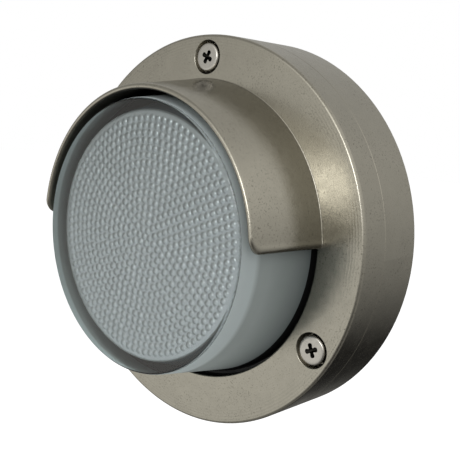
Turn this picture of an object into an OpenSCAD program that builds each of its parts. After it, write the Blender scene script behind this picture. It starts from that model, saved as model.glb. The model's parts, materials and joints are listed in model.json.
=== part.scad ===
// Round outdoor wall light: a cast faceplate with an eyebrow hood, a thick moulded lens,
// and a shallow back housing that carries the lamp board, its driver and the wiring.
// Millimetres. Z is up, the wall is the plane Y = 0 and the light stands out towards -Y.
// The origin is the middle of the back face, on the wall.

/* [Body] */
// Diameter of the body at the wall
body_d = 122; // [120:1:140]
// Distance from the wall to the flat front face
body_depth = 27.4; // [26.8:0.2:34]
// Depth of the faceplate, from the flat front face to its seam with the back housing
face_depth = 10.6; // [9.4:0.2:11.8]
// Fall of the body's radius from the wall to the front face
body_draft = 0.4; // [0:0.1:1]
// Thickness of the cast side walls
wall_t = 3.5; // [3.2:0.1:5]
// Thickness of the back housing's floor
floor_t = 3.5; // [3:0.1:4]
// Bevel on each side of the seam
seam_bevel = 0.2; // [0.2:0.1:0.8]

/* [Faceplate] */
// Thickness of the front plate
face_t = 4; // [3.4:0.1:4.4]
// Rounding of the faceplate's outer edge
edge_r = 1; // [0.4:0.1:1.6]
// Width of the flat ring round the opening for the lens
ring_w = 15; // [14.6:0.2:16.6]
// Rounding of the opening's front edge
lip_r = 0.5; // [0.2:0.1:1]
// Distance of the face screws' centres from the ring's outer edge
screw_inset = 6.8; // [6.6:0.1:7.6]
// Diameter of the counterbore round each face screw
counterbore_d = 10.8; // [9.6:0.2:11]
// Depth of the counterbore below the front face
counterbore_depth = 3.1; // [2.8:0.1:4]

/* [Hood] */
// Reach of the hood beyond the front face
hood_reach = 26; // [14:0.2:34]
// Fall of the hood's outer radius from its root to its front edge
hood_taper = 3.6; // [2:0.2:5]
// Thickness of the hood where it leaves the faceplate
hood_root_t = 1.8; // [1.6:0.1:3]
// Thickness of the hood at its front edge
hood_front_t = 1.8; // [1.6:0.1:2.6]
// Angle of the hood's lower edges above the horizontal
hood_end_angle = 4.2; // [0:0.2:25]
// Rounding of the hood's front edge
hood_nose_r = 0.6; // [0.3:0.1:0.8]
// Fillet between the hood and the front face
hood_fillet = 0.4; // [0.4:0.1:1.6]
// Rounding of the hood's lower front corners, seen from the side
hood_corner_r = 3.2; // [2:0.2:8]
// How far the rounded lower edges stand proud of the hood's skin
hood_bead = 0.15; // [0.1:0.05:0.3]

/* [Lens] */
// Fall of the lens's radius from the front face's plane to its flat front
lens_taper = 3.7; // [3.6:0.1:7.4]
// Reach of the lens beyond the front face
lens_reach = 25.8; // [16:0.2:32]
// Gap between the lens and the opening at the front face
lens_gap = 2; // [1.6:0.1:3]
// Thickness of the clear front of the lens
lens_front_t = 7; // [4:0.2:8]
// Width of the clear margin round the pebbled disc inside the front
lens_margin = 3.1; // [3:0.1:8]
// Thickness of the lens wall at its foot
lens_wall_t = 3.6; // [3:0.1:4]
// Thickness of the lens flange
lens_flange_t = 2.8; // [2:0.1:3]
// Rounding of the lens's front edge
lens_edge_r = 0.5; // [0.3:0.1:1]

/* [Seals] */
// Thickness of the lens gasket
lens_gasket_t = 1.5; // [1:0.1:1.8]
// Width of the groove for the seam gasket
seam_groove_w = 1.8; // [1.4:0.1:2]
// Depth of the groove for the seam gasket
seam_groove_depth = 1.2; // [0.8:0.1:1.6]
// Width of the wall gasket
wall_gasket_w = 6; // [3:0.2:6.4]
// Depth of the wall gasket's groove in the back face
wall_gasket_t = 1.5; // [1:0.1:1.8]

/* [Lamp] */
// How far the aluminium plate under the lamp board stays inside the opening's edge
plate_inset = 5.6; // [5.2:0.2:6.6]
// Thickness of that plate
plate_t = 1.8; // [1.2:0.1:2]
// How far the lamp board stays inside the plate's edge
board_inset = 10; // [9.4:0.2:14]
// Thickness of the lamp board
board_t = 1.6; // [1:0.1:1.8]
// Thickness of the thermal pad
pad_t = 0.5; // [0.3:0.1:0.8]
// Side of one light-emitting chip
chip_side = 3; // [2:0.1:3.6]
// Height of one light-emitting chip
chip_h = 0.8; // [0.5:0.1:1.2]
// Height of the reflector above the lamp board
reflector_h = 12; // [8:0.5:16]
// Width of the board's rim that the reflector's floor covers
reflector_floor_w = 8; // [7.6:0.2:9]
// Thickness of the reflector's skin
reflector_t = 1.2; // [0.8:0.1:1.6]

/* [Wiring] */
// Room between the driver and the posts beside it
driver_gap = 1.3; // [0.6:0.1:4]
// Width of the driver
driver_width = 24; // [18:0.5:25]
// Room between the driver or the terminal block and the plate over them
plate_gap = 1.5; // [0.6:0.1:3]
// Bore of the wire grommet
grommet_bore_d = 8; // [6:0.2:10]
// Diameter of the wire entry in the floor
wire_entry_d = 20; // [18:0.2:21]
// Diameter of the insulated leads
lead_d = 1.8; // [1.2:0.1:2]

/* [Wall fixing] */
// Distance between the two wall screw holes
fixing_spacing = 88.9; // [86:0.1:92]
// Diameter of the wall screw holes
fixing_hole_d = 4.8; // [4:0.1:5.6]

/* [Hidden] */
$fn = 96;

// Small numbers that the cuts and the loose fits share
over = 0.5;
slip = 0.2;
thread_gap = 0.05;

// Colours, as seen in daylight
nickel = [0.56, 0.54, 0.49];
steel = [0.72, 0.72, 0.70];
clear_grey = [0.62, 0.67, 0.68, 0.6];
rubber_black = [0.08, 0.08, 0.08];
board_white = [0.92, 0.92, 0.90];

// Angles of the three face screws, and of the three lens clamps between them
screw_angles = [90, 210, 330];
clamp_angles = [30, 150, 270];

// Heights and radii of the body
seam_height = body_depth - face_depth;
face_back = body_depth - face_t;
body_r = body_d / 2;
seam_r = body_r - body_draft * seam_height / body_depth;
front_r = body_r - body_draft;
cavity_r = body_r - wall_t - body_draft;
opening_r = front_r - ring_w;
screw_circle_r = front_r - screw_inset;
hood_root_r = opening_r + hood_root_t;
hood_front_r = hood_root_r - hood_taper;

// Share of the bead's height that is left at the hood's nose
bead_fade = 0.8;

// Grooves for the gaskets, in the seam and in the back face
groove_in = cavity_r + (seam_r - seam_bevel - cavity_r - seam_groove_w) / 2;
gasket_out = body_r - wall_t - 0.4;

// Face screws: pan heads in counterbores, threaded into the housing's bosses
face_thread_r = 2;
face_head_r = 4.25;
face_head_h = 2.5;
face_washer_t = 0.6;
face_washer_r = 4;
face_thread_depth = 9;
face_boss_r = counterbore_d / 2 + 1;
housing_boss_r = 5;
face_seat = body_depth - counterbore_depth;

// Lens, its flange and what clamps it from behind
lens_foot_r = opening_r - lens_gap;
lens_front_r = lens_foot_r - lens_taper;
lens_disc_r = lens_front_r - lens_margin;
lens_front_z = body_depth + lens_reach;
lens_slope = lens_taper / lens_reach;
flange_front = face_back - lens_gasket_t;
flange_back = flange_front - lens_flange_t;
pocket_r = screw_circle_r - housing_boss_r + 0.8;
flange_r = pocket_r - 2 * slip;
retainer_t = 1.2;
retainer_back = flange_back - retainer_t;
retainer_in_r = lens_inner_r(flange_back) + 0.5;
clamp_boss_r = 4;
clamp_circle_r = cavity_r - clamp_boss_r - 2 * slip;
clamp_thread_r = 1.5;
clamp_head_r = 2.8;
clamp_head_h = 2;

// Height of the plate, board and reflector above the wall, and their radii
plate_front = seam_height;
plate_back = plate_front - plate_t;
board_back = plate_front + pad_t;
board_front = board_back + board_t;
reflector_front = board_front + reflector_h;
plate_r = opening_r - plate_inset;
board_r = plate_r - board_inset;
reflector_window_r = board_r - reflector_floor_w;
small_thread_r = 1.5;
small_head_r = 2.8;
small_head_h = 2;
post_r = 3.5;
post_circle_r = plate_r - post_r;
post_thread_l = 8;
post_angles = [45 : 90 : 315];
board_screw_circle_r = (reflector_window_r + board_r) / 2 + 0.6;
reflector_foot_r = board_r + 1;

// Chips stand on rings: the outermost one, the step inwards, and the pitch along a ring
chip_ring_r = reflector_window_r - 4;
chip_ring_step = 7;
chip_pitch = 9.4;
chip_ring_least = 9.2;

// Places in the housing, in the plane of the wall, and the height of what stands on its floor
driver_height = plate_back - floor_t - plate_gap;
wire_hole = [0, -4];
wire_hole_r = 2.8;
led_lead_x = 1.4;
led_pad_x = 5.2;
wire_entry = [0, -14];
driver_foot_y = 2;
driver_centre_y = driver_foot_y + driver_width / 2;
driver_ear = 7;
driver_ear_t = 3;
driver_ear_reach = 8;
driver_length = 2 * (post_circle_r * cos(45) - post_r - driver_gap);
driver_ear_x = (driver_length + driver_ear_reach) / 2;
block_size = [22, 10, driver_height];
block_y = -33;
block_pitch = 7;
block_port_z = floor_t + 4;
block_port_depth = 3.5;
block_well_r = 1.7;
block_well_depth = 3;
block_screw_r = 1.1;
block_head_r = 1.7;
block_head_h = 1;
clamp_screw_r = 1.6;
clamp_screw_h = 2.2;
clamp_slot_w = 0.5;
earth_at = [27, -10];
earth_boss_h = 2.5;
earth_boss_r = 4.5;
earth_thread_r = 2;
earth_eye_r = 4;
earth_ring_t = 0.8;
earth_barrel_x = -9.6;
earth_barrel_l = 4;
earth_socket_l = 2;
earth_neck_w = 3.2;
grommet_lip = 2;
grommet_lip_t = 1.5;
grommet_inner_t = 2;

// Leads: points chosen along their way, from the terminal block and the driver
lead_z = block_port_z;
line_x = 4 - driver_length / 2;
neutral_x = 8 - driver_length / 2;
line_route = [
    [-7, -31], [-7, -27.5], [-9, -25], [-14, -21], [-17, -16], [-18, -10], [line_x - 0.2, -4],
    [line_x, driver_foot_y - 2], [line_x, driver_foot_y]
];
neutral_route = [
    [0, -31], [0, -27.5], [-2, -25], [-7.4, -21.6], [-12.4, -16.8], [-14.2, -10],
    [neutral_x - 0.3, -4], [neutral_x, driver_foot_y - 2], [neutral_x, driver_foot_y]
];
earth_route = [
    [7, -31], [7, -27.5], [8, -24.5], [10.4, -20], [11.6, -15], [13.6, -11.2],
    [earth_at[0] + earth_barrel_x - 1.2, earth_at[1]],
    [earth_at[0] + earth_barrel_x + 1, earth_at[1]]
];
led_lead_drop = [
    [driver_foot_y, driver_height * 0.5],
    [driver_foot_y - 1.6, driver_height * 0.5],
    [driver_foot_y - 3.8, driver_height * 0.55],
    [wire_hole[1] + 0.6, driver_height * 0.7],
    [wire_hole[1], driver_height * 0.95],
    [wire_hole[1], driver_height * 1.3],
    [wire_hole[1], board_front - floor_t + 0.4]
];

// The radius of the lens's outside and inside at a height above the wall
function lens_outer_r(z) = lens_foot_r + lens_slope * (body_depth - z);
function lens_inner_r(z) =
    let (foot = lens_outer_r(flange_back) - lens_wall_t, top = lens_front_z - lens_front_t)
    foot + (lens_disc_r - foot) * (z - flange_back) / (top - flange_back);

// Points along an arc
function arc(cx, cy, r, from, to, steps) =
    [for (i = [0 : steps]) let (a = from + (to - from) * i / steps) [cx + r * cos(a), cy + r * sin(a)]];

// Directions for a tube: unit vectors, tangents along a route, and a normal carried along it
function unit(v) = v / norm(v);
function tangent(route, i) =
    unit(route[min(i + 1, len(route) - 1)] - route[max(i - 1, 0)]);
function carried(n, t) = unit(n - (n * t) * t);
function normals(route, i = 0, last = [0, 0, 1]) =
    i == len(route) ? [] :
    let (n = carried(last, tangent(route, i))) concat([n], normals(route, i + 1, n));

// Local frame of the light: x across, y up, z out from the wall
module out_of_wall() {
    rotate([90, 0, 0]) children();
}

module at_angles(angles, r) {
    for (a = angles) rotate([0, 0, a]) translate([r, 0, 0]) children();
}

module disc(r, from, to) {
    translate([0, 0, from]) cylinder(h = to - from, r = r);
}

module ring(outer, inner, from, to) {
    difference() {
        disc(outer, from, to);
        disc(inner, from - over, to + over);
    }
}

// A box with round corners, standing on z = 0
module round_box(size, r) {
    linear_extrude(height = size[2])
        polygon(concat(
            arc(size[0] / 2 - r, size[1] / 2 - r, r, 0, 90, 6),
            arc(r - size[0] / 2, size[1] / 2 - r, r, 90, 180, 6),
            arc(r - size[0] / 2, r - size[1] / 2, r, 180, 270, 6),
            arc(size[0] / 2 - r, r - size[1] / 2, r, 270, 360, 6)
        ));
}

// A pan-head screw: its head stands on z = 0 and its shank goes down from there
module pan_screw(head_r, head_h, shank_r, shank_l) {
    round_r = head_h * 0.45;
    rotate_extrude()
        polygon(concat(
            [[0, -shank_l], [shank_r - 0.4, -shank_l], [shank_r, 0.4 - shank_l], [shank_r, 0],
             [head_r, 0]],
            arc(head_r - round_r, head_h - round_r, round_r, 0, 80, 5),
            [[0, head_h]]
        ));
}

// The cross-shaped recess in the top of a screw head
module cross_recess(head_r, head_h, turn) {
    rotate([0, 0, turn])
        for (a = [0, 90]) rotate([0, 0, a])
            translate([0, 0, head_h]) cube([head_r * 1.1, head_r * 0.24, head_h], center = true);
}

// A round tube swept along a route
module tube(route, r) {
    sides = 8;
    last = len(route) - 1;
    across = normals(route, 0, carried([0.31, 0.2, 0.93], tangent(route, 0)));
    points = [for (i = [0 : last]) let (t = tangent(route, i), n = across[i], b = cross(t, n))
        for (k = [0 : sides - 1]) let (a = 360 * k / sides) route[i] + r * (cos(a) * n + sin(a) * b)];
    walls = [for (i = [0 : last - 1], k = [0 : sides - 1]) let (m = (k + 1) % sides)
        each [[i * sides + k, (i + 1) * sides + k, i * sides + m],
              [i * sides + m, (i + 1) * sides + k, (i + 1) * sides + m]]];
    caps = [[for (k = [0 : sides - 1]) k], [for (k = [sides - 1 : -1 : 0]) last * sides + k]];
    polyhedron(points = points, faces = concat(caps, walls));
}

module flat_lead(route) {
    tube([for (p = route) [p[0], p[1], lead_z]], lead_d / 2);
}

// Front plate and side wall of the faceplate, turned in one go
module faceplate_shell() {
    rotate_extrude()
        polygon(concat(
            [[cavity_r, seam_height], [seam_r - seam_bevel, seam_height],
             [seam_r, seam_height + seam_bevel]],
            arc(front_r - edge_r, body_depth - edge_r, edge_r, 0, 90, 8),
            arc(opening_r + lip_r, body_depth - lip_r, lip_r, 90, 180, 5),
            [[opening_r, face_back], [cavity_r - 1.5, face_back]],
            arc(cavity_r - 1.5, face_back - 1.5, 1.5, 80, 0, 5)
        ));
}

// The hood's section: a tapering skin with a round nose and a fillet at its root
module hood_section() {
    front = body_depth + hood_reach;
    inner_front_r = hood_front_r - hood_front_t;
    fillet = hood_fillet;
    polygon(concat(
        [[opening_r + over, body_depth - over], [hood_root_r + fillet, body_depth - over]],
        arc(hood_root_r + fillet, body_depth + fillet, fillet, 270, 180, 6),
        arc(hood_front_r - hood_nose_r, front - hood_nose_r, hood_nose_r, 0, 90, 6),
        arc(inner_front_r + hood_nose_r, front - hood_nose_r, hood_nose_r, 90, 180, 6),
        [[opening_r + 0.02, body_depth]]
    ));
}

// One rounded lower edge of the hood, from the faceplate to the nose
module hood_edge_bead() {
    root_mid = opening_r + hood_root_t / 2;
    front_mid = hood_front_r - hood_front_t / 2;
    rise = hood_reach - hood_nose_r;
    lean = atan((front_mid - root_mid) / rise);
    translate([root_mid, 0, body_depth - over])
        rotate([0, lean, 0])
            cylinder(
                h = (rise + over) / cos(lean),
                r1 = hood_root_t / 2 + hood_bead,
                r2 = hood_front_t / 2 + hood_bead * bead_fade
            );
}

// What the round lower corners take off the hood, right across it
module hood_corner_cut() {
    front = body_depth + hood_reach;
    front_mid = hood_front_r - hood_front_t / 2;
    low = front_mid * sin(hood_end_angle) - hood_front_t / 2 - hood_bead;
    r = hood_corner_r;
    rotate([0, -90, 0])
        linear_extrude(height = body_d, center = true)
            polygon(concat(
                [[front + over, low - over], [front + over, low + r]],
                arc(front - r, low + r, r, 0, -90, 12),
                [[front - r, low - over]]
            ));
}

module hood() {
    sweep = 180 - 2 * hood_end_angle;
    difference() {
        union() {
            rotate([0, 0, hood_end_angle]) rotate_extrude(angle = sweep) hood_section();
            for (a = [hood_end_angle, 180 - hood_end_angle]) rotate([0, 0, a]) hood_edge_bead();
        }
        hood_corner_cut();
    }
}

// Bosses on the back of the front plate, trimmed where the lens flange sits
module faceplate_bosses() {
    difference() {
        union() {
            intersection() {
                at_angles(screw_angles, screw_circle_r) disc(face_boss_r, seam_height, face_back + over);
                disc(cavity_r + over, seam_height, face_back + over);
            }
            intersection() {
                at_angles(clamp_angles, clamp_circle_r) disc(clamp_boss_r, flange_back, face_back + over);
                disc(cavity_r + over, seam_height, face_back + over);
            }
        }
        disc(pocket_r, seam_height - over, face_back);
    }
}

module faceplate() {
    color(nickel) out_of_wall() {
        difference() {
            union() {
                faceplate_shell();
                faceplate_bosses();
                hood();
            }
            at_angles(screw_angles, screw_circle_r) {
                disc(counterbore_d / 2, face_seat, body_depth + over);
                disc(face_thread_r + slip, seam_height - over, face_seat + over);
            }
            at_angles(clamp_angles, clamp_circle_r)
                disc(clamp_thread_r + thread_gap, flange_back - over, face_back);
        }
    }
}

module face_screws() {
    shank_l = face_seat + face_washer_t - seam_height + face_thread_depth - 1;
    turns = [62, 20, 52];
    color(steel) out_of_wall()
        for (i = [0 : 2]) rotate([0, 0, screw_angles[i]])
            translate([screw_circle_r, 0, face_seat + face_washer_t])
                difference() {
                    pan_screw(face_head_r, face_head_h, face_thread_r, shank_l);
                    cross_recess(face_head_r, face_head_h, turns[i]);
                }
}

module face_screw_washers() {
    color(rubber_black) out_of_wall()
        at_angles(screw_angles, screw_circle_r)
            ring(face_washer_r, face_thread_r + thread_gap, face_seat, face_seat + face_washer_t);
}

// A thick cup: a clear flat front, drafted walls and a flange at its foot
module lens() {
    top = lens_front_z - lens_front_t;
    color(clear_grey) out_of_wall()
        rotate_extrude()
            polygon(concat(
                [[0, top], [0, lens_front_z]],
                arc(lens_front_r - lens_edge_r, lens_front_z - lens_edge_r, lens_edge_r, 90, 8, 5),
                [[lens_outer_r(flange_front), flange_front], [flange_r, flange_front],
                 [flange_r, flange_back], [lens_inner_r(flange_back), flange_back],
                 [lens_inner_r(top), top]]
            ));
}

module lens_gasket() {
    color(rubber_black) out_of_wall()
        ring(flange_r, lens_outer_r(flange_front) + 2 * slip, flange_front, face_back);
}

// A pressed ring with three ears that holds the lens flange against its gasket
module lens_retainer() {
    color(steel) out_of_wall() difference() {
        union() {
            disc(flange_r, retainer_back, flange_back);
            for (a = clamp_angles) rotate([0, 0, a]) {
                translate([clamp_circle_r, 0, 0]) disc(clamp_boss_r, retainer_back, flange_back);
                translate([flange_r - 3, -clamp_boss_r, retainer_back])
                    cube([clamp_circle_r - flange_r + 3, 2 * clamp_boss_r, retainer_t]);
            }
        }
        disc(retainer_in_r, retainer_back - over, flange_back + over);
        at_angles(clamp_angles, clamp_circle_r)
            disc(clamp_thread_r + slip, retainer_back - over, flange_back + over);
    }
}

module retainer_screws() {
    color(steel) out_of_wall()
        at_angles(clamp_angles, clamp_circle_r)
            translate([0, 0, retainer_back]) rotate([180, 0, 0])
                pan_screw(clamp_head_r, clamp_head_h, clamp_thread_r, face_back - retainer_back - 0.6);
}

// A white dish: its floor lies on the lamp board and its rim stands inside the lens
module reflector() {
    rim_r = lens_inner_r(reflector_front) - 3 * slip;
    color(board_white) out_of_wall() difference() {
        rotate_extrude()
            polygon([
                [reflector_window_r, board_front], [reflector_foot_r, board_front],
                [rim_r, reflector_front], [rim_r - reflector_t, reflector_front],
                [reflector_foot_r - reflector_t, board_front + reflector_t],
                [reflector_window_r, board_front + reflector_t]
            ]);
        at_angles(clamp_angles, board_screw_circle_r)
            disc(small_thread_r + slip, board_front - over, board_front + reflector_t + over);
    }
}

// Holes that the board, its pad and the plate share
module lamp_holes(from, to, screw_r) {
    at_angles(clamp_angles, board_screw_circle_r) disc(screw_r, from - over, to + over);
    translate(wire_hole) disc(wire_hole_r, from - over, to + over);
}

module led_board() {
    color(board_white) out_of_wall() difference() {
        disc(board_r, board_back, board_front);
        lamp_holes(board_back, board_front, small_thread_r + slip);
    }
}

module led_chips() {
    case_h = chip_h * 0.8;
    color("khaki") out_of_wall()
        for (r = [chip_ring_r : -chip_ring_step : chip_ring_least]) {
            count = floor(2 * PI * r / chip_pitch);
            for (i = [0 : count - 1]) rotate([0, 0, 360 * (i + 0.5) / count])
                translate([r, 0, board_front]) {
                    translate([0, 0, case_h / 2])
                        cube([chip_side, chip_side, case_h], center = true);
                    disc(chip_side * 0.4, case_h / 2, chip_h);
                }
        }
}

module board_screws() {
    head_seat = board_front + reflector_t;
    color(steel) out_of_wall()
        at_angles(clamp_angles, board_screw_circle_r)
            translate([0, 0, head_seat])
                pan_screw(small_head_r, small_head_h, small_thread_r, head_seat - plate_back);
}

module thermal_pad() {
    color("lightslategray") out_of_wall() difference() {
        disc(board_r, plate_front, board_back);
        lamp_holes(plate_front, board_back, small_thread_r + slip);
    }
}

module mounting_plate() {
    color("gainsboro") out_of_wall() difference() {
        disc(plate_r, plate_back, plate_front);
        lamp_holes(plate_back, plate_front, small_thread_r + thread_gap);
        at_angles(post_angles, post_circle_r)
            disc(small_thread_r + slip, plate_back - over, plate_front + over);
    }
}

module plate_screws() {
    color(steel) out_of_wall()
        at_angles(post_angles, post_circle_r)
            translate([0, 0, plate_front])
                pan_screw(small_head_r, small_head_h, small_thread_r, plate_t + post_thread_l - 1);
}

// The driver: a potted box with an ear on each side
module driver() {
    color("whitesmoke") out_of_wall() translate([0, driver_centre_y, floor_t]) difference() {
        union() {
            round_box([driver_length, driver_width, driver_height], 1.5);
            round_box([driver_length + 2 * driver_ear_reach, driver_ear, driver_ear_t], 2);
        }
        for (side = [-1, 1]) translate([side * driver_ear_x, 0, 0])
            disc(small_thread_r + slip, -over, driver_ear_t + over);
    }
}

module driver_screws() {
    color(steel) out_of_wall()
        for (side = [-1, 1]) translate([side * driver_ear_x, driver_centre_y, floor_t + driver_ear_t])
            pan_screw(small_head_r, small_head_h, small_thread_r, driver_ear_t + floor_t - 1.2);
}

// Three poles side by side, each with a wire port at both ends and a well for its screw
module terminal_block() {
    port_r = lead_d / 2 + slip;
    block_top = floor_t + block_size[2];
    color("ivory") out_of_wall() difference() {
        translate([0, block_y, floor_t]) round_box(block_size, 0.8);
        for (x = [-block_pitch, 0, block_pitch]) translate([x, block_y, 0]) {
            for (side = [-1, 1]) translate([0, side * block_size[1] / 2, block_port_z])
                rotate([90, 0, 0]) cylinder(h = 2 * block_port_depth, r = port_r, center = true);
            disc(block_well_r, block_top - block_well_depth, block_top + over);
        }
        for (x = [-0.5, 0.5]) translate([x * block_pitch, block_y, 0])
            disc(block_screw_r + thread_gap, floor_t - over, block_top + over);
    }
}

module terminal_clamp_screws() {
    color("goldenrod") out_of_wall()
        for (x = [-block_pitch, 0, block_pitch])
            translate([x, block_y, floor_t + block_size[2] - block_well_depth]) difference() {
                cylinder(h = clamp_screw_h, r = clamp_screw_r);
                translate([0, 0, clamp_screw_h])
                    cube([3 * clamp_screw_r, clamp_slot_w, 2 * clamp_slot_w], center = true);
            }
}

module terminal_block_screws() {
    head_seat = floor_t + block_size[2];
    color(steel) out_of_wall()
        for (x = [-0.5, 0.5]) translate([x * block_pitch, block_y, head_seat])
            pan_screw(block_head_r, block_head_h, block_screw_r, block_size[2] + floor_t - 1.2);
}

module earth_screw() {
    head_seat = floor_t + earth_boss_h + earth_ring_t;
    color("seagreen") out_of_wall() translate([earth_at[0], earth_at[1], head_seat])
        pan_screw(1.7 * earth_thread_r, 1.1 * earth_thread_r, earth_thread_r, head_seat - 1.5);
}

// A crimped ring terminal: the eye under the earth screw and the barrel round the lead
module earth_ring_terminal() {
    seat = floor_t + earth_boss_h;
    barrel_r = lead_d / 2 + 0.6;
    barrel_end = earth_barrel_x + earth_barrel_l;
    color("silver") out_of_wall() translate([earth_at[0], earth_at[1], 0]) difference() {
        union() {
            disc(earth_eye_r, seat, seat + earth_ring_t);
            translate([barrel_end - 1, -earth_neck_w / 2, seat])
                cube([1 - barrel_end - earth_eye_r / 2, earth_neck_w, earth_ring_t]);
            translate([earth_barrel_x, 0, lead_z]) rotate([0, 90, 0])
                cylinder(h = earth_barrel_l, r = barrel_r);
        }
        disc(earth_thread_r + thread_gap, seat - over, seat + earth_ring_t + over);
        translate([earth_barrel_x - over, 0, lead_z]) rotate([0, 90, 0])
            cylinder(h = earth_socket_l + over, r = lead_d / 2 + thread_gap);
    }
}

module lead_line() {
    color("black") out_of_wall() flat_lead(line_route);
}

module lead_neutral() {
    color("white") out_of_wall() flat_lead(neutral_route);
}

module lead_earth() {
    color("green") out_of_wall() flat_lead(earth_route);
}

// A lead from the driver's foot through the wire hole to its pad on the lamp board
module led_lead(side) {
    thin = lead_d * 0.39;
    rise = [for (p = led_lead_drop) [side * led_lead_x, p[0], floor_t + p[1]]];
    bend = [
        [side * (led_lead_x + 0.1), wire_hole[1], board_front + 1],
        [side * (led_lead_x + 0.9), wire_hole[1], board_front + 2.1],
        [side * (led_lead_x + 2.3), wire_hole[1], board_front + 2.3],
        [side * (led_pad_x - 0.4), wire_hole[1], board_front + 1.8],
        [side * led_pad_x, wire_hole[1], board_front + 0.9],
        [side * led_pad_x, wire_hole[1], board_front]
    ];
    tube(concat(rise, bend), thin);
}

module lead_led_plus() {
    color("red") out_of_wall() led_lead(1);
}

module lead_led_minus() {
    color("black") out_of_wall() led_lead(-1);
}

// Floor and side wall of the back housing, with the grooves for both gaskets
module housing_shell() {
    difference() {
        rotate_extrude()
            polygon(concat(
                [[0, 0], [body_r - 0.4, 0], [body_r, 0.4], [seam_r, seam_height - seam_bevel],
                 [seam_r - seam_bevel, seam_height], [cavity_r, seam_height]],
                arc(cavity_r - 2, floor_t + 2, 2, 0, -90, 5),
                [[0, floor_t]]
            ));
        ring(groove_in + seam_groove_w, groove_in, seam_height - seam_groove_depth, seam_height + over);
        ring(gasket_out, gasket_out - wall_gasket_w, -over, wall_gasket_t);
    }
}

module back_housing() {
    color(nickel) out_of_wall() difference() {
        union() {
            housing_shell();
            intersection() {
                at_angles(screw_angles, screw_circle_r) disc(housing_boss_r, floor_t - over, seam_height);
                disc(groove_in - 0.2, 0, seam_height);
            }
            at_angles(post_angles, post_circle_r) disc(post_r, floor_t - over, plate_back);
            translate(earth_at) disc(earth_boss_r, floor_t - over, floor_t + earth_boss_h);
        }
        at_angles(screw_angles, screw_circle_r)
            disc(face_thread_r + thread_gap, seam_height - face_thread_depth, seam_height + over);
        at_angles(post_angles, post_circle_r)
            disc(small_thread_r + thread_gap, plate_back - post_thread_l, plate_back + over);
        translate(earth_at) disc(earth_thread_r + thread_gap, 1.2, floor_t + earth_boss_h + over);
        for (side = [-1, 1]) translate([side * driver_ear_x, driver_centre_y, 0])
            disc(small_thread_r + thread_gap, 1, floor_t + over);
        for (x = [-0.5, 0.5]) translate([x * block_pitch, block_y, 0])
            disc(block_screw_r + thread_gap, 1, floor_t + over);
        for (side = [-1, 1]) translate([side * fixing_spacing / 2, 0, 0])
            disc(fixing_hole_d / 2, -over, floor_t + over);
        translate(wire_entry) {
            disc(wire_entry_d / 2, -over, floor_t + over);
            disc(wire_entry_d / 2 + grommet_lip + slip, -over, grommet_lip_t);
        }
    }
}

module seam_gasket() {
    color(rubber_black) out_of_wall()
        ring(
            groove_in + seam_groove_w - slip,
            groove_in + slip,
            seam_height - seam_groove_depth,
            seam_height
        );
}

module wall_gasket() {
    color([0.2, 0.2, 0.2]) out_of_wall()
        ring(gasket_out - slip, gasket_out - wall_gasket_w + slip, 0, wall_gasket_t);
}

// A rubber grommet: a neck in the floor and a lip on each side of it
module wire_grommet() {
    neck_r = wire_entry_d / 2 - slip;
    lip_r = wire_entry_d / 2 + grommet_lip;
    color(rubber_black) out_of_wall() translate(wire_entry)
        rotate_extrude()
            polygon([
                [grommet_bore_d / 2, 0], [lip_r, 0], [lip_r, grommet_lip_t], [neck_r, grommet_lip_t],
                [neck_r, floor_t], [lip_r, floor_t], [lip_r - 0.8, floor_t + grommet_inner_t],
                [grommet_bore_d / 2, floor_t + grommet_inner_t]
            ]);
}

faceplate();
face_screws();
face_screw_washers();
lens();
lens_gasket();
lens_retainer();
retainer_screws();
reflector();
led_board();
led_chips();
board_screws();
thermal_pad();
mounting_plate();
plate_screws();
driver();
driver_screws();
terminal_block();
terminal_clamp_screws();
terminal_block_screws();
earth_screw();
earth_ring_terminal();
lead_line();
lead_neutral();
lead_earth();
lead_led_plus();
lead_led_minus();
back_housing();
seam_gasket();
wall_gasket();
wire_grommet();
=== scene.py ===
"""A round outdoor wall light: its visible surfaces, materials, studio and camera."""

import json
import math

import bmesh
import bpy
import numpy as np
from mathutils import Matrix, Vector

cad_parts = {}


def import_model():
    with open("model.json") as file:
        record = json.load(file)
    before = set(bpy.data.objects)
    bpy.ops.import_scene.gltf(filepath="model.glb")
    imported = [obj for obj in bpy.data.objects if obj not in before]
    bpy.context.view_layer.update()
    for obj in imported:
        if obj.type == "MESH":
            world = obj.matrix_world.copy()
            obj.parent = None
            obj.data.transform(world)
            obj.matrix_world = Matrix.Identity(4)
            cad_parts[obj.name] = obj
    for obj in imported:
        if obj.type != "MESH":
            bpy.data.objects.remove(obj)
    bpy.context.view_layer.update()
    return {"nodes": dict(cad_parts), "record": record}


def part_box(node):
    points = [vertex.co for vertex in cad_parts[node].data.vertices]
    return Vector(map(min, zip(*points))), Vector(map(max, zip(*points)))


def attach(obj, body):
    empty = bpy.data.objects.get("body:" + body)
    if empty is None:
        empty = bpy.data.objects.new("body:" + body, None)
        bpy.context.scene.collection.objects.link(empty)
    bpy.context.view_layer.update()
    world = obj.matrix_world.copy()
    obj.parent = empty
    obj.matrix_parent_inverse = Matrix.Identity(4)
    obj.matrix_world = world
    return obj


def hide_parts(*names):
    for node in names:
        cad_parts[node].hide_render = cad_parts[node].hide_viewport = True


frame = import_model()

# Sizes in millimetres, in the light's own frame: x across, y up, z out from the wall


def reach(node):
    """How far a node of the frame stands out from the wall."""
    return -1000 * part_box(node)[0].y


body_r = 1000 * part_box("back_housing")[1].x
seam_z = reach("back_housing")
face_z = reach("face_screws")
hood_z = reach("faceplate")
lens_z = reach("lens")

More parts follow.
